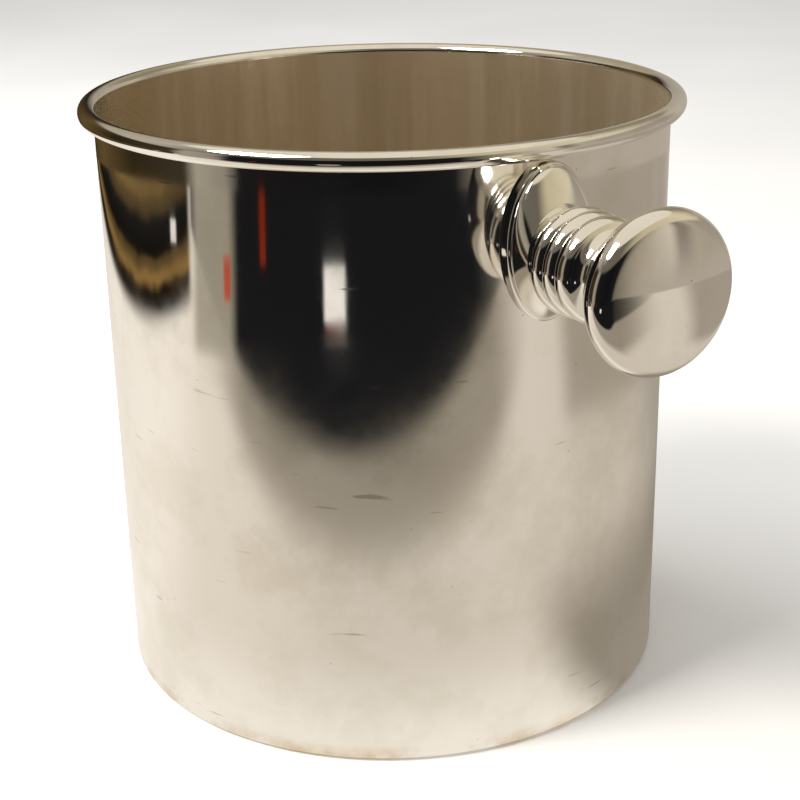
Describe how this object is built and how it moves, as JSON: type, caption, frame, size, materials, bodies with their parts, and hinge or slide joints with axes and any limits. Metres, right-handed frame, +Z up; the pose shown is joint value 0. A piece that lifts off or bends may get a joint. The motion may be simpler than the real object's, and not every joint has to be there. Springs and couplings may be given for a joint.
{
  "type": "champagne bucket",
  "caption": "Round straight-sided champagne bucket in silver-plated brass, with a wired rim and ringed knob handles on oval backplates.",
  "frame": {"origin": "centre of the standing ring, on the surface the bucket stands on", "axes": "+Z up along the bucket's axis; the handles lie along +X and -X"},
  "size_m": [0.326, 0.2104, 0.209],
  "materials": {
    "silver_plate_body": "spun and polished silver plate, satin inside, with fine wear at the foot",
    "silver_plate_polished": "turned and mirror-polished silver plate",
    "cast_brass": "cast or drawn, unpolished",
    "steel_hardware": "zinc-plated thread"
  },
  "bodies": {
    "root": {"bucket_body": "silver_plate_body", "rim_wire": "cast_brass", "handle_right_anchor": "cast_brass", "handle_right_stud": "steel_hardware", "handle_right_rosette": "silver_plate_polished", "handle_right_neck": "silver_plate_polished", "handle_right_lock_washer": "steel_hardware", "handle_right_knob_back": "silver_plate_polished", "handle_right_knob_front": "silver_plate_polished", "handle_right_insert": "cast_brass", "handle_left_anchor": "cast_brass", "handle_left_stud": "steel_hardware", "handle_left_rosette": "silver_plate_polished", "handle_left_neck": "silver_plate_polished", "handle_left_lock_washer": "steel_hardware", "handle_left_knob_back": "silver_plate_polished", "handle_left_knob_front": "silver_plate_polished", "handle_left_insert": "cast_brass"}
  },
  "joints": []
}
